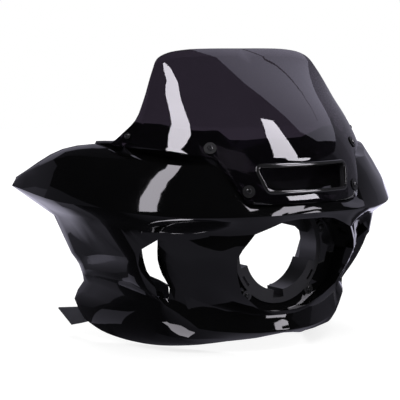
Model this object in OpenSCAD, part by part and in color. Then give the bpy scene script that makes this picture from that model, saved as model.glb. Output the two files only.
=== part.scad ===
// Headlamp fairing for a motorcycle: a gloss moulding, a smoked windscreen with an air slot,
// grained inner panels and a ring round the headlamp. The front faces -Y, X is the width and
// Z is up. The origin is the centre of the headlamp ring's opening, on its front face.

/* [Body] */
// Width over the wing tips
wing_w = 698; // [690:1:706]
// How far the wing tips lie behind the headlamp ring
tip_back = 284; // [281:1:287]
// Wall of the outer moulding
wall = 3.5; // [3:0.1:3.6]

/* [Windscreen] */
// Thickness of the sheet
screen_t = 4; // [3.5:0.1:4.3]
// Gap between the sheet and the moulding at the screws
screen_gap = 1; // [0.8:0.1:1.5]
// Height of the top edge above the lamp centre
screen_top = 334; // [325:1:345]
// Width of the air slot along its upper edge
slot_w = 184; // [176:1:190]

/* [Screws] */
// Thread of the screws into the moulding and the ring
screw_d = 5; // [4:0.5:5]
// Thread of the screws into the inner panels
tab_screw_d = 4; // [3:0.5:4]
// Outer diameter of the large washers
washer_d = 20; // [16:1:22]
// Thickness of the washers
washer_t = 1.5; // [1:0.1:2]

/* [Headlamp ring] */
// Bore between the lugs
ring_bore = 160; // [156:1:162]
// Bore over the inward lugs
lug_bore = 134; // [128:1:142]
// Width of the flange round the bore
flange_w = 9; // [8:0.5:10]
// Thickness of the flange and of the lug walls
ring_t = 3; // [2.5:0.1:3]
// Depth of the collar behind the flange's face
collar_depth = 44; // [36:1:48]

/* [Inner panels] */
// Thickness of the sheet
panel_t = 3; // [2.5:0.1:3.2]
// Bore of the steel sleeves that take the mounting bolts
sleeve_bore = 8.4; // [8:0.1:9]

/* [Hidden] */
$fn = 64;

// The windscreen is one smooth surface, y over x and z, cut to an outline
foot_z = 92;
foot_y = -94;
foot_rake = 0.25;
top_rake = 1.26;
rake_run = 190;
curve_2 = 20;
curve_4 = 1.3;
flat_from = 240;
flat_to = 336;
function rake_step(t) = let (u = min(t / rake_run, 1)) rake_run * (u^3 - u^4 / 2) + max(t - rake_run, 0);
function screen_y(x, z) =
    let (t = z - foot_z, q = x / 100, f = 1 - 0.62 * max(0, (z - flat_from) / (flat_to - flat_from))^1.5)
    foot_y + foot_rake * t + (top_rake - foot_rake) * rake_step(t) + f * (curve_2 * q^2 + curve_4 * q^4);
// Direction through the sheet, front to back
function screen_in(x, z) =
    unit([(screen_y(x - 0.5, z) - screen_y(x + 0.5, z)) / k_x, 1,
        screen_y(x, z - 0.5) - screen_y(x, z + 0.5)]);
// A point at a depth below the sheet's front face. The sheet widens with the wings.
function on_screen(x, z, d) = [x * k_x, screen_y(x, z), z] + screen_in(x, z) * d;
seat_depth = screen_t + screen_gap;
k_x = wing_w / 698;
slot_half = slot_w / 2 / k_x;
slot_foot = slot_half - 13;

function mix(a, b, t) = a * (1 - t) + b * t;
function unit(v) = v / norm(v);
function clamp(v, lo, hi) = max(lo, min(hi, v));
function side(p) = [-p[0], p[1], p[2]];
function sum(v, i = 0, s = 0) = i == len(v) ? s : sum(v, i + 1, s + v[i]);
function head(v, n) = sum([for (i = [0:1:n - 1]) v[i]]);
// One point of a curve from p1 to p2 that leaves along m1 and arrives along m2
function hermite(p1, p2, m1, m2, t) =
    p1 * (2 * t^3 - 3 * t^2 + 1) + m1 * (t^3 - 2 * t^2 + t)
    + p2 * (3 * t^2 - 2 * t^3) + m2 * (t^3 - t^2);
// Mean slope at point i of a list, per unit of chord
function slope(p, i) =
    i == 0 ? unit(p[1] - p[0])
    : i == len(p) - 1 ? unit(p[i] - p[i - 1])
    : (unit(p[i + 1] - p[i]) + unit(p[i] - p[i - 1])) / 2;
// A curve through points, at finer steps. At a fold of 1 it meets the point straight.
function curve(p, cuts, folds) =
    [for (i = [0:len(p) - 2], c = [0:cuts[i] - 1])
        let (d = p[i + 1] - p[i], h = norm(d))
        hermite(p[i], p[i + 1], mix(slope(p, i) * h, d, folds[i]), mix(slope(p, i + 1) * h, d, folds[i + 1]),
            c / cuts[i]),
     p[len(p) - 1]];
function level(n) = [for (i = [1:n]) 0];
// Turns a net's rows into its columns
function turned(net) = [for (c = [0:len(net[0]) - 1]) [for (r = net) r[c]]];
function both(cuts) = concat([for (i = [len(cuts) - 1:-1:0]) cuts[i]], cuts);

// Sheets: nets of points with a front and a back face
function net_normal(net, r, c) =
    let (nr = len(net) - 1, nc = len(net[0]) - 1,
        dr = net[min(r + 1, nr)][c] - net[max(r - 1, 0)][c],
        dc = net[r][min(c + 1, nc)] - net[r][max(c - 1, 0)])
    unit(cross(dr, dc));
function inside(h, r, c) = r >= h[0] && r < h[1] && c >= h[2] && c < h[3];
function solid(nr, nc, holes, r, c) =
    r >= 0 && r < nr - 1 && c >= 0 && c < nc - 1 && len([for (h = holes) if (inside(h, r, c)) h]) == 0;
// Faces of a sheet whose back points follow its front points. Each hole is a block of cells,
// [first row, end row, first column, end column]; the joined block keeps its rim open.
function sheet_faces(nr, nc, holes, joined = [0, 0, 0, 0]) =
    let (n = nr * nc)
    [for (r = [0:nr - 2], c = [0:nc - 2]) if (solid(nr, nc, holes, r, c))
        let (a = r * nc + c, b = a + nc, e = b + 1, g = a + 1,
            up = solid(nr, nc, holes, r - 1, c) || inside(joined, r - 1, c),
            down = solid(nr, nc, holes, r + 1, c) || inside(joined, r + 1, c),
            before = solid(nr, nc, holes, r, c - 1) || inside(joined, r, c - 1),
            after = solid(nr, nc, holes, r, c + 1) || inside(joined, r, c + 1))
        each concat(
            [[a, e, b], [a, g, e], [a + n, b + n, e + n], [a + n, e + n, g + n]],
            up ? [] : [[g, a, a + n], [g, a + n, g + n]],
            down ? [] : [[b, e, e + n], [b, e + n, b + n]],
            before ? [] : [[a, b, b + n], [a, b + n, a + n]],
            after ? [] : [[e, g, g + n], [e, g + n, e + n]])];
module sheet(front, back, holes = []) {
    polyhedron(points = concat([for (r = front) each r], [for (r = back) each r]),
        faces = sheet_faces(len(front), len(front[0]), holes), convexity = 10);
}
function deeper(net, t) =
    [for (r = [0:len(net) - 1]) [for (c = [0:len(net[0]) - 1]) net[r][c] - net_normal(net, r, c) * t]];

// Body points, drawn for the usual width and depth
k_back = tip_back / 284;
function pt(x, y, z) = [x * k_x, y < 0 ? y : y * k_back, z];
// A body point where the moulding backs the windscreen, at its seat or deeper
function behind(x, z, more = 0) = on_screen(x, z, seat_depth + more);
nose_gap = 2;

// Body lines from the top edge down. Each runs from the middle of the nose to the rear edge over
// the same ten stations.
top_edge = [pt(0, 40, 184), pt(74, 37, 184), pt(108, 22, 201), pt(134, 26, 201), pt(162, 57, 204),
    pt(197, 105, 212), pt(216, 121, 181), pt(236, 158, 173), pt(284, 222, 163), pt(338, 290, 114)];
neck_mid = [pt(0, -24, 140), pt(58, -24, 140), pt(106, -22, 158), behind(143, 177), pt(164, 52, 180),
    pt(195, 97, 189), pt(217, 120, 177), pt(238, 154, 176), pt(287, 218, 167), pt(339, 288, 117)];
neck_foot = [pt(0, -68, 109), pt(55, -65, 110), pt(109, -48, 124), behind(145, 152), pt(166, 50, 158),
    pt(195, 92, 166), pt(216, 121, 173), pt(240, 150, 178), pt(290, 213, 168), pt(340, 286, 118)];
top_crease = [behind(0, 93, nose_gap), behind(55, 93, nose_gap), behind(108, 93, nose_gap + 1),
    behind(144, 147), pt(192, 8, 149),
    pt(220, 44, 153), pt(245, 74, 157), pt(273, 109, 159), pt(308, 165, 160), pt(342, 284, 115)];
ridge = [pt(0, -97, 72), pt(57, -94, 71), pt(116, -80, 70), pt(162, -57, 69), pt(214, -24, 70),
    pt(247, 7, 73), pt(272, 38, 76), pt(304, 82, 83), pt(333, 148, 87), pt(349, 284, 104)];
undercut = [pt(0, -92, 66), pt(54, -87, 64), pt(104, -69, 49), pt(158, -14, 45), pt(203, 27, 41),
    pt(242, 47, 42), pt(265, 69, 47), pt(279, 115, 48), pt(289, 180, 51), pt(291, 244, 54)];
bowl_top = [pt(0, -89, 62), pt(50, -83, 59), pt(98, -68, 40), pt(156, -4, 36), pt(203, 32, 34),
    pt(225, 45, 21), pt(246, 57, 8), pt(252, 110, 5), pt(253, 175, 1), pt(256, 247, -14)];
arch = [pt(0, -82, 48), pt(52, -77, 47), pt(104, -65, 31), pt(157, -4, 28), pt(202, 33, 26),
    pt(221, 52, 15), pt(242, 60, 1), pt(245, 111, -4), pt(245, 176, -9), pt(248, 247, -24)];
bowl_side = [pt(0, -50, -10), pt(60, -50, -5), pt(120, -50, -1), pt(160, -2, -3), pt(199, 38, -8),
    pt(203, 77, -9), pt(237, 63, -14), pt(242, 114, -18), pt(244, 180, -24), pt(241, 248, -34)];
bowl_low = [pt(0, -15, -100), pt(52, -18, -93), pt(97, -30, -60), pt(148, 10, -42), pt(190, 42, -32),
    pt(195, 74, -34), pt(225, 68, -38), pt(234, 118, -36), pt(239, 185, -38), pt(237, 248, -44)];
bowl_edge = [pt(0, -14, -107), pt(55, -3, -104), pt(97, 14, -93), pt(140, 34, -77), pt(177, 43, -56),
    pt(184, 68, -57), pt(213, 72, -56), pt(225, 120, -50), pt(233, 185, -48), pt(235, 248, -49)];
step_edge = [pt(0, -17, -114), pt(55, -7, -114), pt(97, 12, -107), pt(146, 35, -90), pt(173, 52, -75),
    pt(186, 67, -73), pt(203, 73, -67), pt(216, 121, -58), pt(228, 186, -53), pt(234, 248, -53)];
lip = [pt(0, -25, -128), pt(50, -16, -129), pt(96, 2, -126), pt(142, 28, -118), pt(176, 45, -93),
    pt(186, 59, -84), pt(195, 73, -76), pt(210, 122, -65), pt(225, 186, -55), pt(233, 248, -57)];
low_ridge = [pt(0, -27, -131), pt(50, -18, -132), pt(97, 0, -129), pt(143, 27, -122), pt(177, 51, -104),
    pt(190, 67, -96), pt(200, 86, -89), pt(211, 132, -79), pt(223, 190, -69), pt(232, 248, -64)];
chin_mid = [pt(0, -24, -134), pt(48, -11, -137), pt(90, 12, -140), pt(138, 39, -142), pt(171, 68, -139),
    pt(183, 92, -135), pt(193, 118, -131), pt(210, 166, -123), pt(225, 222, -112), pt(236, 274, -98)];
low_edge = [pt(0, -16, -137), pt(45, 0, -144), pt(80, 37, -152), pt(108, 76, -161), pt(141, 118, -166),
    pt(157, 145, -167), pt(169, 168, -166), pt(188, 200, -161), pt(207, 232, -151), pt(222, 264, -134)];
lines = [top_edge, neck_mid, neck_foot, top_crease, ridge, undercut, bowl_top, arch, bowl_side,
    bowl_low, bowl_edge, step_edge, lip, low_ridge, chin_mid, low_edge];
// How sharply each line folds the skin at each station, from 0, smooth, to 1, a full crease
folds = [
    [1, 1, 1, 1, 1, 1, 1, 1, 1, 1],
    [0, 0, 0, 0, 0, 0, 0, 0, 0, 0],
    [0, 0, 0, 0.5, 1, 1, 1, 0, 0, 0],
    [0, 0, 0, 0.5, 1, 0.9, 0.8, 0.8, 0.9, 1],
    [1, 1, 1, 1, 0.8, 0.6, 0.5, 0.6, 0.8, 1],
    [1, 1, 0.5, 0, 1, 1, 1, 1, 1, 1],
    [1, 1, 1, 0, 1, 1, 1, 1, 1, 1],
    [0, 0, 0, 0, 0, 0, 0.5, 1, 1, 1],
    [0, 0, 0, 0, 0, 0, 0, 0, 0, 0],
    [1, 1, 1, 0, 0, 0, 0, 0, 0, 0],
    [1, 1, 1, 1, 0, 0, 0, 0, 0, 0],
    [0.5, 0.5, 0.5, 0.5, 0, 0, 0, 0, 0, 0],
    [1, 1, 1, 1, 1, 1, 1, 1, 1, 1],
    [1, 1, 1, 1, 1, 1, 1, 1, 1, 1],
    [0, 0, 0, 0, 0, 0, 0, 0, 0, 0],
    [1, 1, 1, 1, 1, 1, 1, 1, 1, 1]];
// Strips of faces between neighbouring stations, and between neighbouring lines
station_cuts = [2, 2, 2, 3, 2, 2, 3, 3, 4];
line_cuts = [2, 2, 2, 3, 3, 1, 1, 2, 2, 2, 1, 1, 1, 2, 2];

// The skin, rows from the top edge down and columns from one rear edge to the other
function whole(half) = concat([for (i = [len(half) - 1:-1:1]) side(half[i])], half);
fine_lines = [for (p = lines) curve(whole(p), both(station_cuts), level(2 * len(p) - 1))];
fine_folds = [for (f = folds)
    let (w = concat([for (i = [len(f) - 1:-1:1]) f[i]], f), s = both(station_cuts))
    [for (i = [0:len(w) - 2], c = [0:s[i] - 1]) mix(w[i], w[i + 1], c / s[i]), w[len(w) - 1]]];
n_all = len(fine_lines[0]);
skin = turned([for (k = [0:n_all - 1])
    curve([for (l = fine_lines) l[k]], line_cuts, [for (f = fine_folds) f[k]])]);
n_row = len(skin);
mid_col = (n_all - 1) / 2;

// Blocks of cells that are open: the lamp's and the two side vents'. One column of cells beside
// each vent turns in, as the bowl's end and as the flank's rolled front.
lamp_side = head(station_cuts, 2);
vent_front = head(station_cuts, 4) + 1;
vent_back = head(station_cuts, 6) - 1;
row_top = head(line_cuts, 6);
row_lamp = head(line_cuts, 9);
row_vent = head(line_cuts, 11);
lamp_hole = [row_top, row_lamp, mid_col - lamp_side, mid_col + lamp_side];
vent_holes = [[row_top, row_vent, mid_col + vent_front, mid_col + vent_back],
    [row_top, row_vent, mid_col - vent_back, mid_col - vent_front]];

// The lamp well runs back from the rim of the lamp's hole to a flat seat behind the ring
seat_y = ring_t + 0.2;
ear_d = 2 * flange_w;
ear_r = ring_bore / 2 + flange_w + 7;
well_min = ear_r + 4;
well_flare = 1.02;
well_hole = 72;
rim = concat([for (c = [lamp_hole[2]:lamp_hole[3] - 1]) [row_top, c]],
    [for (r = [row_top:row_lamp - 1]) [r, lamp_hole[3]]],
    [for (c = [lamp_hole[3]:-1:lamp_hole[2] + 1]) [row_lamp, c]],
    [for (r = [row_lamp:-1:row_top + 1]) [r, lamp_hole[2]]]);
n_rim = len(rim);
function rim_pt(j) = let (v = rim[(j + n_rim) % n_rim]) skin[v[0]][v[1]];
function lamp_dir(j) = let (p = rim_pt(j)) unit([p[0], 0, p[2]]);
function well_pt(j) =
    let (p = rim_pt(j)) lamp_dir(j) * max(well_min, norm([p[0], p[2]]) * well_flare) + [0, seat_y, 0];
// Direction out of the well's side, away from the lamp
function well_out(j) =
    let (v = unit(cross(rim_pt(j + 1) - rim_pt(j - 1), well_pt(j) - rim_pt(j)))) v * lamp_dir(j) < 0 ? -v : v;
// A corner's back point, where two walls of one thickness meet
function mitred(p, a, b) = p + wall * (a + b) / max(0.5, 1 + a * b);
well_front = [for (j = [0:n_rim - 1]) well_pt(j)];
well_back = [for (j = [0:n_rim - 1]) mitred(well_pt(j), well_out(j), [0, 1, 0])];
seat_front = [for (j = [0:n_rim - 1]) lamp_dir(j) * well_hole + [0, seat_y, 0]];
seat_back = [for (p = seat_front) p + [0, wall, 0]];
// The back of the skin, with the well's corner worked into the rim
skin_back = [for (r = [0:n_row - 1]) [for (c = [0:n_all - 1])
    let (n = net_normal(skin, r, c), j = [for (q = [0:n_rim - 1]) if (rim[q] == [r, c]) q])
    len(j) > 0 ? mitred(skin[r][c], -n, well_out(j[0])) : skin[r][c] - n * wall]];

// Screen screws, x and z: two into the inner panels' tabs, four into the moulding
tab_screws = [[233, 193], [-233, 193]];
foot_screw = slot_foot + 29;
body_screws = [[146, 176], [-146, 176], [foot_screw, 109], [-foot_screw, 109]];
hole_room = 1;
nut_hole = screw_d + 5;
nut_clear = 0.2;
nut_flange = nut_hole + 4;
nut_length = 14;
flange_clear = 0.5;
boss_d = nut_flange + 5;
boss_t = 5;
// Points +Z along a direction
module aim(v) rotate([0, acos(v[2]), atan2(v[1], v[0])]) children();
// Stands children on the sheet's front face, +Z into the bike
module at_screw(s) translate(on_screen(s[0], s[1], 0)) aim(screen_in(s[0], s[1])) children();
module bar(d, from, to) translate([0, 0, from]) cylinder(d = d, h = to - from);

// Headlamp ring
ring_fit = 1;
ear_angles = [20, 160, 228, 312];
lug_spans = [[198, 262], [278, 342]];
slit_spans = [[208, 222], [318, 332]];
end_wall = 3;
slit_edge = 0.5;
stay_from = 20;
stay_to = 24;
stay_edge = [[95, 20], [63, 25], [52, 34], [24, 41], [10, 48]];
ring_pilot = screw_d - 1;
module plate_y(from, to) translate([0, to, 0]) rotate([90, 0, 0]) linear_extrude(to - from) children();
module arc(r0, r1, a0, a1) {
    m = (a0 + a1) / 2;
    far = 2 * r1;
    intersection() {
        difference() {
            circle(r = r1, $fn = 96);
            circle(r = r0, $fn = 96);
        }
        polygon([[0, 0], far * [cos(a0), sin(a0)], far * [cos(m), sin(m)], far * [cos(a1), sin(a1)]]);
    }
}
module at_ears()
    for (a = ear_angles) translate([ear_r * cos(a), 0, ear_r * sin(a)]) rotate([-90, 0, 0]) children();

module outer_fairing() {
    n = n_all * n_row;
    w = 2 * n;
    points = concat([for (r = skin) each r], [for (r = skin_back) each r],
        well_front, well_back, seat_front, seat_back);
    function id(j) = let (v = rim[j]) v[0] * n_all + v[1];
    well = [for (j = [0:n_rim - 1])
        let (k = (j + 1) % n_rim, f = w, b = w + n_rim, s = w + 2 * n_rim, t = w + 3 * n_rim)
        each [[id(j), id(k), f + k], [id(j), f + k, f + j],
            [id(k) + n, id(j) + n, b + j], [id(k) + n, b + j, b + k],
            [f + j, f + k, s + k], [f + j, s + k, s + j],
            [b + k, b + j, t + j], [b + k, t + j, t + k],
            [s + j, s + k, t + k], [s + j, t + k, t + j]]];
    color([0.03, 0.03, 0.035]) difference() {
        union() {
            polyhedron(points = points, convexity = 10,
                faces = concat(sheet_faces(n_row, n_all, concat([lamp_hole], vent_holes), lamp_hole), well));
            for (s = body_screws) at_screw(s) bar(boss_d, seat_depth, seat_depth + boss_t);
        }
        for (s = body_screws) at_screw(s) {
            bar(boss_d + 1, screen_t - 2, seat_depth);
            bar(nut_hole, 0, seat_depth + 3 * boss_t);
        }
        plate_y(seat_y - 1, seat_y + wall + 1) circle(r = ring_bore / 2 + ring_t + ring_fit, $fn = 96);
        at_ears() bar(ring_pilot, 0, seat_y + 2 * wall);
    }
}

// Windscreen outline, x and z, rows from the top edge down and columns from the middle out
slot_top = 148;
slot_low = 107;
function high(z) = z * (1 + (screen_top / 334 - 1) * clamp((z - 200) / 134, 0, 1));
screen_net = [
    [[0, high(334)], [50, high(334)], [94, high(333)], [116, high(331)], [132, high(328.5)],
        [144, high(325)], [153, high(321)], [160, high(316)], [165, high(310)]],
    [[0, high(291)], [55, high(291)], [100, high(289)], [122, high(288)], [140, high(286)],
        [153, high(285)], [163, high(285)], [171, high(286)], [178, high(288)]],
    [[0, 246], [58, 246], [108, 244], [133, 242], [151, 242], [166, 242], [179, 243], [189, 245], [199, 248]],
    [[0, 200], [60, 200], [112, 200], [137, 200], [155, 202], [176, 206], [195, 210], [208, 214], [218, 218]],
    [[0, slot_top], [55, slot_top], [slot_half, slot_top], [124, 152], [148, 177], [172, 183], [198, 191],
        [219, 196], [235, 199]],
    [[0, slot_low], [45, slot_low], [slot_foot, slot_low], [119, 112], [145, 165], [166, 171], [196, 177],
        [224, 181], [248, 184]],
    [[0, 88], [45, 88], [84, 88], [113, 90], [142, 157], [162, 164], [194, 171], [227, 174], [253, 179]]];
screen_row_cuts = [3, 3, 3, 3, 2, 1];
screen_col_cuts = [3, 3, 2, 2, 2, 2, 2, 2];
screen_folds = [0, 0, 0, 0, 1, 1, 1];

module windscreen() {
    rows = [for (i = [0:len(screen_net) - 1])
        let (r = screen_net[i], w = concat([for (j = [len(r) - 1:-1:1]) [-r[j][0], r[j][1]]], r))
        curve(w, both(screen_col_cuts), [for (j = w) screen_folds[i]])];
    net = turned([for (c = turned(rows)) curve(c, screen_row_cuts, screen_folds)]);
    middle = (len(net[0]) - 1) / 2;
    reach = head(screen_col_cuts, 2);
    slot = [head(screen_row_cuts, 4), head(screen_row_cuts, 5), middle - reach, middle + reach];
    color([0.25, 0.23, 0.28, 0.6]) difference() {
        sheet([for (r = net) [for (p = r) on_screen(p[0], p[1], 0)]],
            [for (r = net) [for (p = r) on_screen(p[0], p[1], screen_t)]], [slot]);
        for (s = body_screws) at_screw(s) bar(screw_d + hole_room, -screen_t, 2 * screen_t);
        for (s = tab_screws) at_screw(s) bar(tab_screw_d + hole_room, -screen_t, 2 * screen_t);
    }
}

// Slot bezel: one profile swept round the slot, out from the slot's edge and down from the face
bezel_gap = 0.4;
bezel_profile = [[4, -bezel_gap], [3.2, -2.2], [-2, -2.2], [-2, screen_t + 6], [-bezel_gap, screen_t + 6],
    [-bezel_gap, -bezel_gap]];
corner_r = 8;
corner_steps = 4;
end_steps = 2;
long_steps = 12;
module slot_bezel() {
    corners = [[slot_half, slot_top], [slot_foot, slot_low], [-slot_foot, slot_low], [-slot_half, slot_top]];
    function corner(i) = corners[(i + 4) % 4];
    // Each corner is an arc that touches both of its sides
    arcs = [for (i = [0:3])
        let (a = unit(corner(i - 1) - corner(i)), b = unit(corner(i + 1) - corner(i)),
            h = acos(a * b) / 2, mid = corner(i) + unit(a + b) * corner_r / sin(h),
            s = corner(i) + a * corner_r / tan(h) - mid, e = corner(i) + b * corner_r / tan(h) - mid)
        [for (k = [0:corner_steps]) mid + unit(mix(s, e, k / corner_steps)) * corner_r]];
    path = [for (i = [0:3])
        let (from = arcs[i][corner_steps], to = arcs[(i + 1) % 4][0],
            steps = i % 2 == 0 ? end_steps : long_steps)
        each concat([for (k = [0:corner_steps - 1]) arcs[i][k]],
            [for (k = [0:steps - 1]) mix(from, to, k / steps)])];
    n = len(path);
    m = len(bezel_profile);
    points = [for (j = [0:n - 1])
        let (d = path[(j + 1) % n] - path[(j + n - 1) % n], o = unit([-d[1], d[0]]))
        for (q = bezel_profile) on_screen(path[j][0] + o[0] * q[0], path[j][1] + o[1] * q[0], q[1])];
    faces = [for (j = [0:n - 1], q = [0:m - 1])
        let (k = (j + 1) % n, a = j * m + q, b = j * m + (q + 1) % m, e = k * m + (q + 1) % m, g = k * m + q)
        each [[a, e, b], [a, g, e]]];
    color([0.1, 0.1, 0.11]) polyhedron(points = points, faces = faces, convexity = 6);
}

// Inner panel of the +X side: a tab behind the windscreen, then the panel that closes the wing
panel_net = [
    [behind(212, 214), behind(215, 216), behind(219, 217),
        pt(275, 206, 190), pt(305, 242, 180), pt(330, 270, 150)],
    [behind(217, 204), behind(225, 204), behind(234, 202),
        pt(275, 207, 180), pt(305, 243, 170), pt(332, 272, 140)],
    [behind(222, 184), behind(233, 183), behind(244, 183),
        pt(275, 208, 170), pt(305, 244, 160), pt(333, 274, 120)],
    [pt(221, 131, 183), pt(233, 148, 180), pt(248, 173, 179),
        pt(275, 207, 162), pt(305, 243, 150), pt(331, 273, 112)],
    [pt(216, 136, 168), pt(232, 160, 164), pt(251, 187, 158),
        pt(275, 206, 154), pt(305, 242, 136), pt(330, 272, 106)],
    [pt(206, 126, 150), pt(228, 136, 146), pt(254, 166, 140),
        pt(282, 204, 130), pt(308, 240, 116), pt(328, 266, 98)],
    [pt(205, 124, 100), pt(230, 136, 98), pt(256, 164, 94),
        pt(278, 196, 90), pt(296, 226, 88), pt(308, 250, 82)],
    [pt(204, 123, 50), pt(226, 138, 48), pt(246, 166, 48),
        pt(261, 194, 50), pt(272, 218, 53), pt(279, 238, 56)],
    [pt(202, 122, 10), pt(218, 138, 8), pt(230, 164, 6), pt(240, 192, 8), pt(248, 218, 12), pt(254, 240, 18)],
    [pt(197, 121, -14), pt(209, 138, -16), pt(219, 164, -19), pt(227, 192, -20), pt(232, 218, -20),
        pt(236, 240, -22)],
    [pt(178, 120, -46), pt(192, 138, -46), pt(204, 164, -48), pt(213, 192, -49), pt(220, 218, -49),
        pt(226, 240, -50)],
    [pt(140, 122, -64), pt(168, 138, -68), pt(186, 164, -72), pt(201, 192, -74), pt(212, 218, -72),
        pt(221, 244, -70)],
    [pt(133, 135, -100), pt(158, 148, -104), pt(178, 170, -106), pt(195, 198, -106), pt(209, 226, -106),
        pt(224, 260, -108)],
    [pt(130, 150, -138), pt(146, 158, -144), pt(160, 176, -148), pt(176, 200, -148), pt(193, 226, -142),
        pt(213, 256, -130)]];
panel_row_cuts = [2, 2, 2, 2, 2, 2, 2, 2, 2, 2, 2, 2, 2];
panel_col_cuts = [2, 2, 2, 2, 2];
tail_net = [[pt(222, 250, -111), pt(229, 284, -116), pt(235, 336, -124)],
    [pt(214, 246, -134), pt(217, 280, -144), pt(219, 316, -153)]];
// Mounting points of one side: place and direction through the panel
mounts = [[pt(214, 130, 75), [-0.48, 0.88, 0]], [pt(152, 140, -84), [-0.39, 0.84, 0.38]]];
pad_d = 34;
pad_t = 6;
pad_room = 10;
sleeve_d = sleeve_bore + 3.6;
grommet_d = sleeve_d + 8;
grommet_flange = grommet_d + 6;
flange_t = 2;
rubber_clear = 0.1;
sleeve_length = pad_t + 2 * flange_t + 2;
module at_mounts() for (m = mounts) translate(m[0]) aim(unit(m[1])) children();

module inner_panel() {
    fine = turned([for (c = turned([for (r = panel_net) curve(r, panel_col_cuts, level(len(r)))]))
        curve(c, panel_row_cuts, level(len(c)))]);
    beside_tab = [0, head(panel_row_cuts, 4), head(panel_col_cuts, 2), head(panel_col_cuts, 5)];
    color([0.13, 0.13, 0.14]) difference() {
        union() {
            difference() {
                sheet(fine, deeper(fine, panel_t), [beside_tab]);
                at_mounts() {
                    bar(pad_d, -pad_t / 2 - pad_room, -pad_t / 2);
                    bar(pad_d, pad_t / 2, pad_t / 2 + pad_room);
                }
            }
            sheet(tail_net, deeper(tail_net, panel_t));
            at_mounts() bar(pad_d, -pad_t / 2, pad_t / 2);
        }
        at_screw(tab_screws[0]) bar(tab_screw_d + hole_room, 0, seat_depth + 3 * panel_t);
        at_mounts() bar(grommet_d, -pad_t, pad_t);
    }
}
module inner_fairing_right() mirror([1, 0, 0]) inner_panel();
module inner_fairing_left() inner_panel();

module headlamp_ring() {
    r_in = ring_bore / 2;
    r_lug = lug_bore / 2;
    r_out = r_in + ring_t;
    stay = concat(stay_edge, [for (i = [len(stay_edge) - 1:-1:0]) [-stay_edge[i][0], stay_edge[i][1]]],
        [[-95, 100], [95, 100]]);
    color([0.16, 0.16, 0.17]) difference() {
        union() {
            difference() {
                union() {
                    plate_y(0, ring_t) {
                        circle(r = r_in + flange_w, $fn = 96);
                        for (a = ear_angles) rotate(a) translate([ear_r, 0]) circle(d = ear_d);
                    }
                    plate_y(0, collar_depth) circle(r = r_out, $fn = 96);
                }
                plate_y(-1, collar_depth + 1) circle(r = r_in, $fn = 96);
            }
            for (l = lug_spans) plate_y(0, collar_depth) arc(r_lug, r_in + ring_t / 2, l[0], l[1]);
            plate_y(stay_from, stay_to) intersection() {
                circle(r = r_in + ring_t / 2, $fn = 96);
                polygon(stay);
            }
        }
        // The lugs are hollow from behind
        for (l = lug_spans)
            plate_y(ring_t, collar_depth + 1) arc(r_lug + ring_t, r_in, l[0] + end_wall, l[1] - end_wall);
        for (l = slit_spans)
            plate_y(-1, collar_depth + 1) arc(r_in - slit_edge, r_out + slit_edge, l[0], l[1]);
        at_ears() bar(screw_d + 0.5, -1, ring_t + 1);
    }
}

// A raised cross-slot head below z = 0
module cross_head(thread) {
    d = thread * 1.9;
    t = thread * 0.55;
    difference() {
        union() {
            bar(d, -t * 0.45, 0);
            translate([0, 0, -t]) cylinder(d1 = d * 0.62, d2 = d, h = t * 0.55);
        }
        for (a = [0, 90])
            rotate(a) translate([-d * 0.25, -0.5, -2 * t]) cube([d * 0.5, 1, 1.5 * t]);
    }
}
module screen_screws() {
    color([0.08, 0.08, 0.09]) {
        for (s = body_screws) at_screw(s) {
            translate([0, 0, -washer_t]) cross_head(screw_d);
            bar(screw_d, -washer_t, seat_depth + nut_length - 1);
        }
        for (s = tab_screws) at_screw(s) {
            translate([0, 0, -washer_t]) cross_head(tab_screw_d);
            bar(tab_screw_d, -washer_t, seat_depth + panel_t + 1.1 * tab_screw_d);
        }
    }
}
module screen_washers() {
    color([0.2, 0.2, 0.21]) {
        for (s = body_screws) at_screw(s) difference() {
            bar(washer_d, -washer_t, 0);
            bar(screw_d + nut_clear, -2 * washer_t, washer_t);
        }
        for (s = tab_screws) at_screw(s) difference() {
            bar(tab_screw_d * 2.6, -washer_t, 0);
            bar(tab_screw_d + nut_clear, -2 * washer_t, washer_t);
        }
    }
}
module screen_well_nuts() {
    color([0.05, 0.05, 0.05]) for (s = body_screws) at_screw(s) difference() {
        union() {
            bar(nut_flange, screen_t + flange_clear, seat_depth);
            bar(nut_hole - 2 * nut_clear, screen_t + flange_clear, seat_depth + nut_length);
        }
        bar(screw_d + nut_clear, 0, seat_depth + 2 * nut_length);
    }
}
module tab_nuts() {
    behind_panel = seat_depth + panel_t;
    color([0.5, 0.5, 0.52]) for (s = tab_screws) at_screw(s) difference() {
        bar(tab_screw_d * 1.75, behind_panel + flange_clear, behind_panel + 0.8 * tab_screw_d);
        bar(tab_screw_d + nut_clear, 0, seat_depth + 4 * panel_t);
    }
}
module ring_screws() {
    color([0.08, 0.08, 0.09]) at_ears() {
        cross_head(screw_d);
        bar(ring_pilot - nut_clear, 0, seat_y + wall + screw_d);
    }
}
module mount_grommets() {
    color([0.05, 0.05, 0.05]) for (s = [0, 1]) mirror([s, 0, 0]) at_mounts() difference() {
        union() {
            bar(grommet_d - 2 * rubber_clear, -pad_t / 2 - flange_t, pad_t / 2 + flange_t);
            bar(grommet_flange, -pad_t / 2 - flange_t, -pad_t / 2);
            bar(grommet_flange, pad_t / 2, pad_t / 2 + flange_t);
        }
        bar(sleeve_d + 2 * rubber_clear, -pad_t, pad_t);
    }
}
module mount_sleeves() {
    color([0.6, 0.6, 0.62]) for (s = [0, 1]) mirror([s, 0, 0]) at_mounts() difference() {
        bar(sleeve_d, -sleeve_length / 2, sleeve_length / 2);
        bar(sleeve_bore, -sleeve_length, sleeve_length);
    }
}

outer_fairing();
windscreen();
slot_bezel();
inner_fairing_left();
inner_fairing_right();
headlamp_ring();
ring_screws();
screen_screws();
screen_washers();
screen_well_nuts();
tab_nuts();
mount_grommets();
mount_sleeves();
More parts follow.
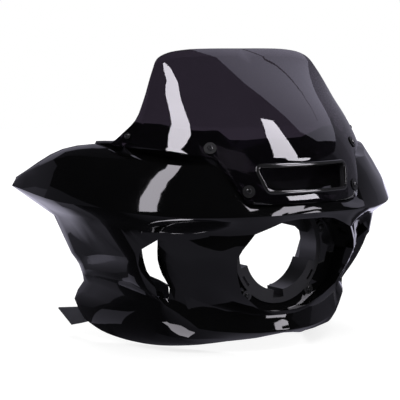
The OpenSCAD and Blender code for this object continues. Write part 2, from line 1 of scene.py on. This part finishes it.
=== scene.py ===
"""Studio scene of a motorcycle's headlamp fairing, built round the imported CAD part."""
import math
import bpy
from mathutils import Matrix, Vector


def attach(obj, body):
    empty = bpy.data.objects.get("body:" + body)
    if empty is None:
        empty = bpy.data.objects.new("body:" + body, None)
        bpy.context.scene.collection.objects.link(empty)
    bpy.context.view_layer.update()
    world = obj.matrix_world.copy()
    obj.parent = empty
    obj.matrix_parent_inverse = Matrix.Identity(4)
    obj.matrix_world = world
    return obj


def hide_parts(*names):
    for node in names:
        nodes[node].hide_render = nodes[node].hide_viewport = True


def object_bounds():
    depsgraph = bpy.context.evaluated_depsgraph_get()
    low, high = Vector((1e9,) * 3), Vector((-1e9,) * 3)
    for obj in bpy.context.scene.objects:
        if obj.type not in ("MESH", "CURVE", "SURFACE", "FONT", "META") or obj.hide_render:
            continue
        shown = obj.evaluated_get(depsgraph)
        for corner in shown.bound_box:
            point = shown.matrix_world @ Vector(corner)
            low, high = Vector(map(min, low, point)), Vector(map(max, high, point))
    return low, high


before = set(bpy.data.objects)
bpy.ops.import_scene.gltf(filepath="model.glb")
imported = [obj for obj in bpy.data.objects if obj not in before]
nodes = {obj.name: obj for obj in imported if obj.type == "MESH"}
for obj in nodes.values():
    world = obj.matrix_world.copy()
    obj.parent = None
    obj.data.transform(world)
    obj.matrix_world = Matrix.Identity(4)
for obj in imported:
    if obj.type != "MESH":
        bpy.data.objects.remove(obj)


def box_lists(b):
    return [list(b[0]), list(b[1])]


cad_box = box_lists(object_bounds())
scene = bpy.context.scene
scene.view_settings.view_transform = "Standard"
bpy.ops.object.select_all(action="DESELECT")

# Camera. It stands in front, to the -X side and a little above. The pixels are those of a 400 by 400 picture.
CAMERA_SIDE = math.radians(-34)
CAMERA_RISE = math.radians(6)
CAMERA_AWAY = 2.5
CAMERA_REACH = 50
LENS_MM = 135
SENSOR_MM = 36
PICTURE_PX = 400
RING_PX = (278.5, 250)
PX_PER_M = PICTURE_PX * LENS_MM / SENSOR_MM / CAMERA_AWAY


def set_camera():
    """The camera that sees the ring's centre at RING_PX, CAMERA_AWAY metres off."""
    right = Vector((math.cos(CAMERA_SIDE), math.sin(CAMERA_SIDE), 0))
    ahead = Vector((-math.sin(CAMERA_SIDE) * math.cos(CAMERA_RISE),
                    math.cos(CAMERA_SIDE) * math.cos(CAMERA_RISE),
                    -math.sin(CAMERA_RISE)))
    up = right.cross(ahead)
    ring_right = (RING_PX[0] - PICTURE_PX / 2) / PX_PER_M
    ring_down = (RING_PX[1] - PICTURE_PX / 2) / PX_PER_M
    data = bpy.data.cameras.new("camera")
    data.lens = LENS_MM
    data.sensor_width = SENSOR_MM
    data.clip_end = CAMERA_REACH
    cam = bpy.data.objects.new("camera", data)
    scene.collection.objects.link(cam)
    turned = Matrix((right, up, -ahead)).transposed().to_4x4()
    cam.matrix_world = Matrix.Translation(up * ring_down - right * ring_right - ahead * CAMERA_AWAY) @ turned
    scene.camera = cam


set_camera()

# Materials. Colour and roughness wander a little, between two places of a noise that runs from 0 to 1.
WANDER_LOW = 0.3
WANDER_HIGH = 0.7
WANDER_SCALE = 14.0
COLOUR_SPREAD = 0.15
ROUGH_SPREAD = 0.1
GRAIN_DEPTH = 0.0004
SMOKE_DARK = (0.018, 0.014, 0.0215, 1)
SMOKE_PALE = (0.021, 0.0165, 0.025, 1)
SMOKE_SCALE = 8.0
SMOKE_ROUGH = (0.02, 0.035)
SMOKE_SPECULAR = 0.4
ACRYLIC_IOR = 1.49


def shader(name):
    m = bpy.data.materials.new(name)
    m.use_nodes = True
    return m, m.node_tree.nodes["Principled BSDF"], m.node_tree


def add(tree, kind, **values):
    """A new node, with each value set on the input of that name, or else on the node itself."""
    n = tree.nodes.new(kind)
    for key, value in values.items():
        if key in n.inputs:
            n.inputs[key].default_value = value
        else:
            setattr(n, key, value)
    return n


def place(tree):
    return add(tree, "ShaderNodeTexCoord").outputs["Object"]


def ramp(tree, value, stops):
    """A colour ramp through (place, colour) stops, driven by a value."""
    r = add(tree, "ShaderNodeValToRGB")
    first, last = r.color_ramp.elements
    first.position, first.color = stops[0]
    last.position, last.color = stops[-1]
    for at, colour in stops[1:-1]:
        r.color_ramp.elements.new(at).color = colour
    tree.links.new(value, r.inputs["Fac"])
    return r.outputs["Color"]


def wander(tree, noise, low, high):
    """A colour or a grey that goes from low to high as the noise does."""
    return ramp(tree, noise.outputs["Fac"], [(WANDER_LOW, low), (WANDER_HIGH, high)])


def grey(v, blue=1.0):
    return (v, v, v * blue, 1)


def moulded(name, colour, rough, scale, bump, blue=1.05, specular=0.5, pebbled=False):
    """A moulded or plated finish: colour and roughness wander, and a fine grain stands on it."""
    m, b, t = shader(name)
    b.inputs["Specular IOR Level"].default_value = specular
    at = place(t)
    wide = add(t, "ShaderNodeTexNoise", Scale=WANDER_SCALE, Detail=3.0)
    t.links.new(at, wide.inputs["Vector"])
    tint = wander(t, wide, grey(colour * (1 - COLOUR_SPREAD), blue), grey(colour * (1 + COLOUR_SPREAD), blue))
    t.links.new(tint, b.inputs["Base Color"])
    polish = wander(t, wide, grey(rough * (1 - ROUGH_SPREAD)), grey(rough * (1 + ROUGH_SPREAD)))
    t.links.new(polish, b.inputs["Roughness"])
    if pebbled:
        fine = add(t, "ShaderNodeTexVoronoi", Scale=scale)
        height = fine.outputs["Distance"]
    else:
        fine = add(t, "ShaderNodeTexNoise", Scale=scale, Detail=2.0)
        height = fine.outputs["Fac"]
    t.links.new(at, fine.inputs["Vector"])
    grain = add(t, "ShaderNodeBump", Strength=bump, Distance=GRAIN_DEPTH)
    t.links.new(height, grain.inputs["Height"])
    t.links.new(grain.outputs["Normal"], b.inputs["Normal"])
    return m


def plated(name, colour, rough, scale, bump):
    """A moulded finish turned to metal."""
    m = moulded(name, colour, rough, scale, bump)
    m.node_tree.nodes["Principled BSDF"].inputs["Metallic"].default_value = 1.0
    return m


def smoked(name):
    """A see-through sheet. Its base colour is the share of light that comes through both of its faces."""
    m, b, t = shader(name)
    b.inputs["Specular IOR Level"].default_value = SMOKE_SPECULAR
    b.inputs["Transmission Weight"].default_value = 1.0
    b.inputs["IOR"].default_value = ACRYLIC_IOR
    cloud = add(t, "ShaderNodeTexNoise", Scale=SMOKE_SCALE, Detail=2.0)
    t.links.new(place(t), cloud.inputs["Vector"])
    t.links.new(wander(t, cloud, SMOKE_DARK, SMOKE_PALE), b.inputs["Base Color"])
    t.links.new(wander(t, cloud, grey(SMOKE_ROUGH[0]), grey(SMOKE_ROUGH[1])), b.inputs["Roughness"])
    return m


gloss = moulded("gloss_black", colour=0.002, rough=0.045, scale=60.0, bump=0.02, specular=0.27)
bezel = moulded("bezel_black", colour=0.012, rough=0.12, scale=200.0, bump=0.03)
grained = moulded("grained_black", colour=0.06, rough=0.5, scale=900.0, bump=0.5, blue=1.2, pebbled=True)
satin = moulded("ring_black", colour=0.01, rough=0.3, scale=500.0, bump=0.12, specular=0.35)
screw = moulded("screw_black", colour=0.012, rough=0.25, scale=700.0, bump=0.1, specular=0.4)
nylon = moulded("washer_nylon", colour=0.01, rough=0.4, scale=500.0, bump=0.1, specular=0.2)
rubber = moulded("rubber", colour=0.018, rough=0.7, scale=800.0, bump=0.3)
zinc = plated("zinc_steel", colour=0.55, rough=0.3, scale=600.0, bump=0.08)
smoke = smoked("smoked_sheet")

# Each CAD node's material and slot
FINISH = {
    "outer_fairing": (gloss, "gloss_black"),
    "windscreen": (smoke, "smoked_sheet"),
    "slot_bezel": (bezel, "bezel_black"),
    "inner_fairing_left": (grained, "grained_black"),
    "inner_fairing_right": (grained, "grained_black"),
    "headlamp_ring": (satin, "ring_black"),
    "ring_screws": (screw, "screw_black"),
    "screen_screws": (screw, "screw_black"),
    "screen_washers": (nylon, "washer_nylon"),
    "screen_well_nuts": (rubber, "rubber"),
    "tab_nuts": (zinc, "zinc_steel"),
    "mount_grommets": (rubber, "rubber"),
    "mount_sleeves": (zinc, "zinc_steel"),
}

# Pieces. Those in SMOOTH are shown by smoothed copies, the others by the CAD nodes themselves.
MERGE_WITHIN = 2e-6
FLAT_WITHIN = math.radians(0.3)
EDGE_SEGMENTS = 2

# The copy's name, the fold in degrees up to which it looks smooth, and the width of its eased edges
SMOOTH = {
    "outer_fairing": ("moulding", 24, 0.0015),
    "windscreen": ("smoked_screen", 30, 0.0006),
    "slot_bezel": ("bezel_ring", 40, 0.0012),
    "inner_fairing_left": ("inner_panel_left", 30, 0.0),
    "inner_fairing_right": ("inner_panel_right", 30, 0.0),
}


def plain_copy(node, name):
    """A copy of a CAD node with its own mesh and material, and without the frame's marks."""
    src = nodes[node]
    o = src.copy()
    o.data = src.data.copy()
    o.name = name
    o.parent = None
    for key in list(o.keys()):
        if key.startswith("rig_"):
            del o[key]
    scene.collection.objects.link(o)
    o.data.materials.clear()
    o.data.materials.append(FINISH[node][0])
    return o


def join_faces(o):
    """Merges the mesh's loose triangles, faces them outwards, and cuts its flat faces afresh."""
    bpy.ops.object.select_all(action="DESELECT")
    o.select_set(True)
    bpy.context.view_layer.objects.active = o
    bpy.ops.object.mode_set(mode="EDIT")
    bpy.ops.mesh.select_all(action="SELECT")
    bpy.ops.mesh.customdata_custom_splitnormals_clear()
    bpy.ops.mesh.remove_doubles(threshold=MERGE_WITHIN)
    bpy.ops.mesh.normals_make_consistent(inside=False)
    bpy.ops.mesh.dissolve_limited(angle_limit=FLAT_WITHIN)
    bpy.ops.mesh.quads_convert_to_tris()
    bpy.ops.object.mode_set(mode="OBJECT")


def ease_edges(o, angle, width):
    """Rounds the edges that are sharper than the angle."""
    ease = o.modifiers.new("eased_edges", "BEVEL")
    ease.width = width
    ease.segments = EDGE_SEGMENTS
    ease.limit_method = "ANGLE"
    ease.angle_limit = angle
    ease.use_clamp_overlap = True
    bpy.ops.object.modifier_apply(modifier=ease.name)


def smooth_copy(node, name, fold_degrees, edge):
    """A copy of a CAD node with its shallow folds smooth and its sharp edges eased."""
    angle = math.radians(fold_degrees)
    o = plain_copy(node, name)
    join_faces(o)
    if edge:
        ease_edges(o, angle, edge)
    bpy.ops.object.shade_smooth_by_angle(angle=angle)
    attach(o, "root")
    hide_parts(node)


for node, obj in nodes.items():
    if node in SMOOTH:
        smooth_copy(node, *SMOOTH[node])
    else:
        obj.data.materials.clear()
        obj.data.materials.append(FINISH[node][0])

# Stage: white surroundings, a pale floor that keeps the part's shadow, and three lamps
FLOOR_GAP = 0.002
floor_z = cad_box[0][2] - FLOOR_GAP
FLOOR_SIZE = 12
FLOOR_GREY = 0.4
FLOOR_ROUGH = 0.9
GLOW_NEAR = 0.78
GLOW_NEAR_WITHIN = 1.0
GLOW_FAR_FROM = 3.0
WORLD_LIGHT = 0.45
LAMP_AIM = (0, 0.08, 0.05)


def seen_directly(tree):
    """1 for camera, glossy and transmitted rays, 0 for the others."""
    rays = add(tree, "ShaderNodeLightPath")
    two = add(tree, "ShaderNodeMath", operation="ADD")
    three = add(tree, "ShaderNodeMath", operation="ADD", use_clamp=True)
    tree.links.new(rays.outputs["Is Camera Ray"], two.inputs[0])
    tree.links.new(rays.outputs["Is Glossy Ray"], two.inputs[1])
    tree.links.new(two.outputs[0], three.inputs[0])
    tree.links.new(rays.outputs["Is Transmission Ray"], three.inputs[1])
    return three.outputs[0]


def between(tree, value, from_low, from_high, to_low, to_high):
    """Maps a value from one range to another."""
    r = add(tree, "ShaderNodeMapRange")
    r.inputs["From Min"].default_value = from_low
    r.inputs["From Max"].default_value = from_high
    r.inputs["To Min"].default_value = to_low
    r.inputs["To Max"].default_value = to_high
    tree.links.new(value, r.inputs["Value"])
    return r.outputs["Result"]


def white_surroundings():
    """A white world that lights the part at WORLD_LIGHT and is seen as white."""
    world = bpy.data.worlds.new("surroundings")
    scene.world = world
    world.use_nodes = True
    t = world.node_tree
    background = t.nodes["Background"]
    background.inputs["Color"].default_value = (1, 1, 1, 1)
    strength = between(t, seen_directly(t), 0.0, 1.0, WORLD_LIGHT, 1.0)
    t.links.new(strength, background.inputs["Strength"])


def paper_floor():
    """A pale floor. Its glow shows to the camera and in reflections, and is white away from the part."""
    bpy.ops.mesh.primitive_plane_add(size=FLOOR_SIZE, location=(0, 0, floor_z))
    floor = bpy.context.object
    floor.name = "floor"
    m, b, t = shader("floor_paper")
    b.inputs["Base Color"].default_value = grey(FLOOR_GREY)
    b.inputs["Roughness"].default_value = FLOOR_ROUGH
    b.inputs["Specular IOR Level"].default_value = 0.0
    b.inputs["Emission Color"].default_value = (1, 1, 1, 1)
    away = add(t, "ShaderNodeVectorMath", operation="LENGTH")
    t.links.new(place(t), away.inputs[0])
    growth = between(t, away.outputs["Value"], GLOW_NEAR_WITHIN, GLOW_FAR_FROM, GLOW_NEAR, 1.0)
    glow = add(t, "ShaderNodeMath", operation="MULTIPLY")
    t.links.new(seen_directly(t), glow.inputs[0])
    t.links.new(growth, glow.inputs[1])
    t.links.new(glow.outputs[0], b.inputs["Emission Strength"])
    floor.data.materials.append(m)


def lamp(name, at, size, watts):
    """A soft rectangular lamp that faces the part and isn't reflected in it."""
    d = bpy.data.lights.new(name, "AREA")
    d.shape = "RECTANGLE"
    d.size, d.size_y = size
    d.energy = watts
    o = bpy.data.objects.new(name, d)
    scene.collection.objects.link(o)
    o.location = at
    o.rotation_euler = (Vector(LAMP_AIM) - Vector(at)).to_track_quat("-Z", "Y").to_euler()
    o.visible_glossy = False


white_surroundings()
paper_floor()
lamp("key", at=(-1.2, -2.0, 2.4), size=(1.6, 1.2), watts=40)
lamp("fill", at=(2.0, -1.6, 1.2), size=(1.4, 1.4), watts=18)
lamp("back", at=(0.3, 2.2, 2.0), size=(1.6, 1.0), watts=25)

# The room that the gloss reflects: walls at one radius, a roof, cards on the floor, and softboxes.
# Only reflections see it, and it is laid out for the view of the scene's own camera.
R_WALL = 6.0
Z_TOP = 3.0
WALL_STEP_DEG = 12
COOL = (0.96, 0.93, 1.16)
LILAC = (1.0, 0.96, 1.05)
SOFT_STRENGTH = 13

# How far one card hangs below the roof or lies above the floor, so that no two share a plane
LAYER = 0.01
SOFT_LAYER = 0.03
FLOOR_LAYER = 0.001
FLOOR_TOP_LAYER = 0.003


def card(name, corners, strength, colour=(1, 1, 1)):
    """A flat card that only reflections see, through its corners."""
    mesh = bpy.data.meshes.new(name)
    mesh.from_pydata([Vector(c) for c in corners], [], [list(range(len(corners)))])
    o = bpy.data.objects.new(name, mesh)
    scene.collection.objects.link(o)
    m = bpy.data.materials.new(name)
    m.use_nodes = True
    t = m.node_tree
    t.nodes.remove(t.nodes["Principled BSDF"])
    shine = add(t, "ShaderNodeEmission", Strength=strength)
    shine.inputs["Color"].default_value = (*colour, 1)
    t.links.new(shine.outputs[0], t.nodes["Material Output"].inputs["Surface"])
    mesh.materials.append(m)
    o.visible_camera = False
    o.visible_diffuse = False
    o.visible_shadow = False
    o.visible_transmission = False
    o.visible_volume_scatter = False
    return o


def graded_card(name, corners, axis, stops):
    """A card whose brightness follows stops of place and strength along an axis."""
    t = card(name, corners, 1.0, COOL).data.materials[0].node_tree
    split = add(t, "ShaderNodeSeparateXYZ")
    t.links.new(place(t), split.inputs[0])
    low, high = stops[0][0], stops[-1][0]
    along = between(t, split.outputs[axis], low, high, 0.0, 1.0)
    graded = ramp(t, along, [((at - low) / (high - low), grey(v)) for at, v in stops])
    shine = [n for n in t.nodes if n.type == "EMISSION"][0]
    t.links.new(graded, shine.inputs["Strength"])


def wall(name, first, last, low, high, strength, colour=COOL, nearer=1.0):
    """A curved wall between two angles, in flat cards. Angle 0 is straight ahead of the part, at -Y."""
    def at(deg, z):
        a = math.radians(deg)
        return (R_WALL * nearer * math.sin(a), -R_WALL * nearer * math.cos(a), z)

    parts = max(1, round(abs(last - first) / WALL_STEP_DEG))
    for k in range(parts):
        a = first + (last - first) * k / parts
        b = first + (last - first) * (k + 1) / parts
        card("%s_%d" % (name, k), [at(a, low), at(b, low), at(b, high), at(a, high)], strength, colour)


def level(points, z):
    return [(x, y, z) for x, y in points]


def on_roof(points, lower=0.0):
    return level(points, Z_TOP - lower)


def on_floor(points, higher=FLOOR_TOP_LAYER):
    return level(points, floor_z + higher)


def rectangle(left, right, near, far):
    return [(left, near), (right, near), (right, far), (left, far)]


# Walls: first angle, last angle, bottom, top, strength. A split in height is a step in the wall's tone.
BACK_STEP = 1.6
SIDE_STEP = 2.05
FAR_STEP = 1.4
DARK = 0.03
WALLS = [
    (-180, -132, floor_z, BACK_STEP, 0.45),
    (-180, -132, BACK_STEP, Z_TOP, 0.22),
    (-132, -72, SIDE_STEP, Z_TOP, DARK),
    (-132, -72, floor_z, SIDE_STEP, 0.2),
    (-72, 56, floor_z, Z_TOP, DARK),
    (56, 78, floor_z, Z_TOP, 0.1),
    (78, 100, floor_z, Z_TOP, 0.2),
    (100, 140, floor_z, Z_TOP, 0.25),
    (140, 180, floor_z, FAR_STEP, 0.14),
    (140, 180, FAR_STEP, Z_TOP, 0.35),
]
for k, spec in enumerate(WALLS):
    wall("wall_%d" % k, *spec)

# Roof: dark, with a lighter part that shows on the screen's far half and another further back
ROOF = rectangle(-7, 7, -6, 6)
ROOF_LIGHT = [(1.36, 0.36), (1.66, 0.24), (1.95, -0.04), (2.48, -0.66),
              (3.6, -0.8), (6, 0.4), (7, 3), (1.3, 3)]
ROOF_BACK = [(1.2, 3.4), (4, 3.4), (4.5, 6), (1.2, 6)]
card("roof_dark", on_roof(ROOF), strength=DARK, colour=COOL)
card("roof_light", on_roof(ROOF_LIGHT, LAYER), strength=0.8, colour=COOL)
card("roof_back", on_roof(ROOF_BACK, LAYER), strength=0.4, colour=COOL)

# A thin dim strip just above the part, which draws the fine curved line across the screen
SEAM_Z = 0.42
SEAM_WIDTH = 0.003
SEAM = [(0.08, 0.17), (0.13, 0.12), (0.18, 0.115), (0.23, 0.11), (0.28, 0.1), (0.32, 0.07), (0.345, 0.02)]
SEAM_EDGE = [(x + SEAM_WIDTH, y + SEAM_WIDTH) for x, y in reversed(SEAM)]
card("roof_seam", level(SEAM + SEAM_EDGE, SEAM_Z), strength=0.1)

# Softbox just above the part. It gives the streak on the screen's near half and the one on the wing.
SOFT_LEFT_Z = 0.4
SOFT_LEFT = [(-0.15, 0.09), (-0.145, 0.08), (-0.155, 0.06), (-0.185, 0.04), (-0.22, -0.01),
             (-0.265, -0.05), (-0.335, -0.075), (-0.41, -0.09), (-0.475, -0.14), (-0.73, -0.32),
             (-0.87, -0.22), (-0.505, -0.07), (-0.415, -0.035), (-0.345, -0.005), (-0.275, 0.02),
             (-0.23, 0.055), (-0.185, 0.065)]
card("soft_left", level(SOFT_LEFT, SOFT_LEFT_Z), strength=15, colour=LILAC)

# Softbox under the roof, for the streak above the slot
SOFT_RIGHT = [(1.15, -0.45), (1.5, -0.45), (1.65, -1.0), (1.9, -1.6), (2.3, -2.4), (2.5, -3.0),
              (3.6, -2.9), (3.9, -3.3), (3.3, -3.8), (1.9, -3.6), (1.6, -2.95), (0.98, -2.9),
              (0.97, -1.2)]
card("soft_right", on_roof(SOFT_RIGHT, SOFT_LAYER), strength=SOFT_STRENGTH, colour=LILAC)

# Softbox in front, just inside the wall
wall("soft_front", first=16, last=44, low=1.1, high=2.75, strength=SOFT_STRENGTH, colour=LILAC, nearer=0.99)

# Floor: grey in front, dark under the part and pale behind it, with patches for the part's lower faces
FLOOR_TONES = [(-0.2, 0.42), (0.0, 0.3), (0.08, 0.04), (0.26, 0.04), (0.42, 0.15), (0.56, 0.8), (0.9, 1.0)]
SIDE_TONES = [(-0.9, 0.5), (-0.46, 0.5), (-0.3, 0.13)]
FLOOR = rectangle(-5, 5, -5, 5)
SIDE = rectangle(-0.9, -0.3, 0.31, 0.5)
CHIN = rectangle(-0.3, -0.225, 0.2, 0.285)
SPOT = [(-0.24, 0.07), (-0.2, 0.03), (-0.155, 0.025), (-0.155, 0.045), (-0.19, 0.06), (-0.22, 0.07),
        (-0.24, 0.09)]
graded_card("floor_graded", on_floor(FLOOR, FLOOR_LAYER), "Y", FLOOR_TONES)
card("floor_spot", on_floor(SPOT), strength=8, colour=LILAC)
card("floor_chin", on_floor(CHIN), strength=0.4, colour=COOL)
graded_card("floor_side", on_floor(SIDE), "X", SIDE_TONES)
